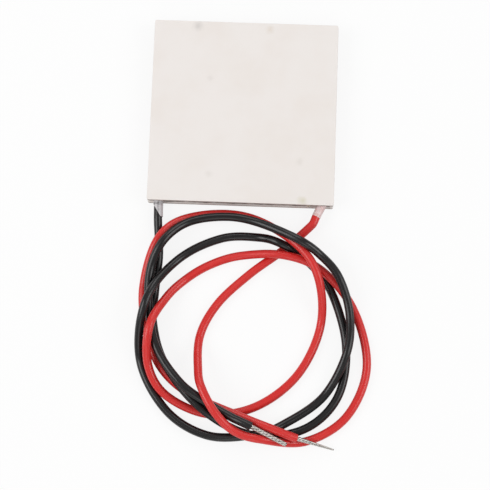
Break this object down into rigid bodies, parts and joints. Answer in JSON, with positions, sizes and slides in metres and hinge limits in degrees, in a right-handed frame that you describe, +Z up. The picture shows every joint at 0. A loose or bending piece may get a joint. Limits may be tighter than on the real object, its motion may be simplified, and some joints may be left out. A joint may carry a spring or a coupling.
{
  "type": "thermoelectric cooling module",
  "caption": "Flat square heat pump of two ceramic plates with semiconductor pellets between them, a sealed edge and two long tangled insulated leads, one red and one black.",
  "frame": {"origin": "middle of the underside of the module, without its leads", "axes": "+Z up through the plates, +Y away from the edge that the leads leave, +X along that edge towards the red lead"},
  "size_m": [0.0499, 0.0917, 0.0074],
  "materials": {
    "ceramic": "smooth unglazed white alumina",
    "copper": "flat copper tab, hidden inside",
    "p_pellet": "dull sawn semiconductor, hidden inside",
    "n_pellet": "dull sawn semiconductor, hidden inside",
    "solder": "dull solder",
    "conductor": "bright tinned copper strands",
    "sealant": "grey-brown cured sealant",
    "sleeve": "thin milky sleeve",
    "black_pvc": "smooth black lead insulation",
    "red_pvc": "smooth red lead insulation"
  },
  "bodies": {
    "root": {"hot_plate": "ceramic", "cold_plate": "ceramic", "hot_tabs": "copper", "cold_tabs": "copper", "black_lead_pad": "copper", "red_lead_pad": "copper", "p_pellets": "p_pellet", "n_pellets": "n_pellet", "hot_solder": "solder", "cold_solder": "solder", "edge_seal": "sealant", "black_core_end": "conductor", "red_core_end": "conductor", "black_solder_joint": "solder", "red_solder_joint": "solder", "black_sleeve": "sleeve", "red_sleeve": "sleeve", "black_lead": "black_pvc", "red_lead": "red_pvc", "black_tinned_end": "conductor", "red_tinned_end": "conductor"}
  },
  "joints": []
}
